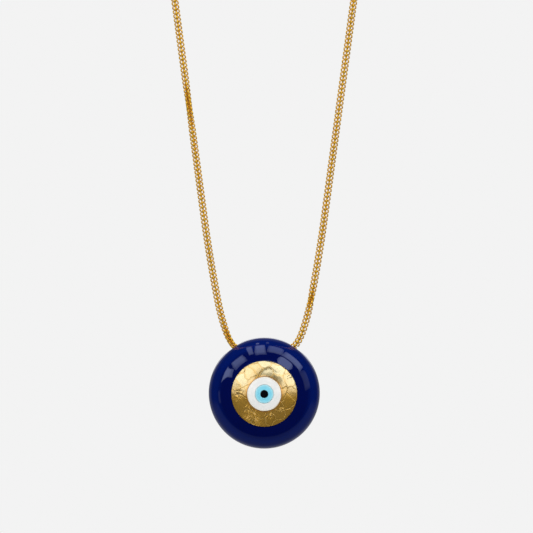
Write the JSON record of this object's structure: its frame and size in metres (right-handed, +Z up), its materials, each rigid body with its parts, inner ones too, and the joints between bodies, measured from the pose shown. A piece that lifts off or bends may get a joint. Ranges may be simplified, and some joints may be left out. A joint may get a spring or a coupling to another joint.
{
  "type": "evil eye pendant necklace",
  "caption": "Puffed round glass bead with an inlaid eye on a gold leaf disc, threaded on a fine link chain that closes into a necklace with a barrel clasp.",
  "frame": {"origin": "under the clasp at the top of the loop, where the necklace rests on the nape", "axes": "+Z up, so the bead hangs towards -Z; the eye looks along -Y; +X to the viewer's right"},
  "size_m": [0.0638, 0.0128, 0.218],
  "materials": {
    "cobalt_glass": "polished deep cobalt glass, almost opaque",
    "gold_leaf": "crinkled gold leaf on a glass backing",
    "white_glass": "polished opaque white glass",
    "blue_glass": "polished opaque light blue glass",
    "black_glass": "polished opaque black glass",
    "gold_plate": "polished gold plating"
  },
  "bodies": {
    "necklace": {"chain": "gold_plate", "clasp": "gold_plate"},
    "pendant": {"bead": "cobalt_glass", "gold_disc": "gold_leaf", "white_dot": "white_glass", "iris": "blue_glass", "pupil": "black_glass"}
  },
  "joints": [
    {"name": "pendant_swing", "type": "hinge", "parent": "necklace", "child": "pendant", "pos_m": [0, 0, -0.19546], "axis": [1, 0, 0], "range_deg": [-55, 55]}
  ]
}
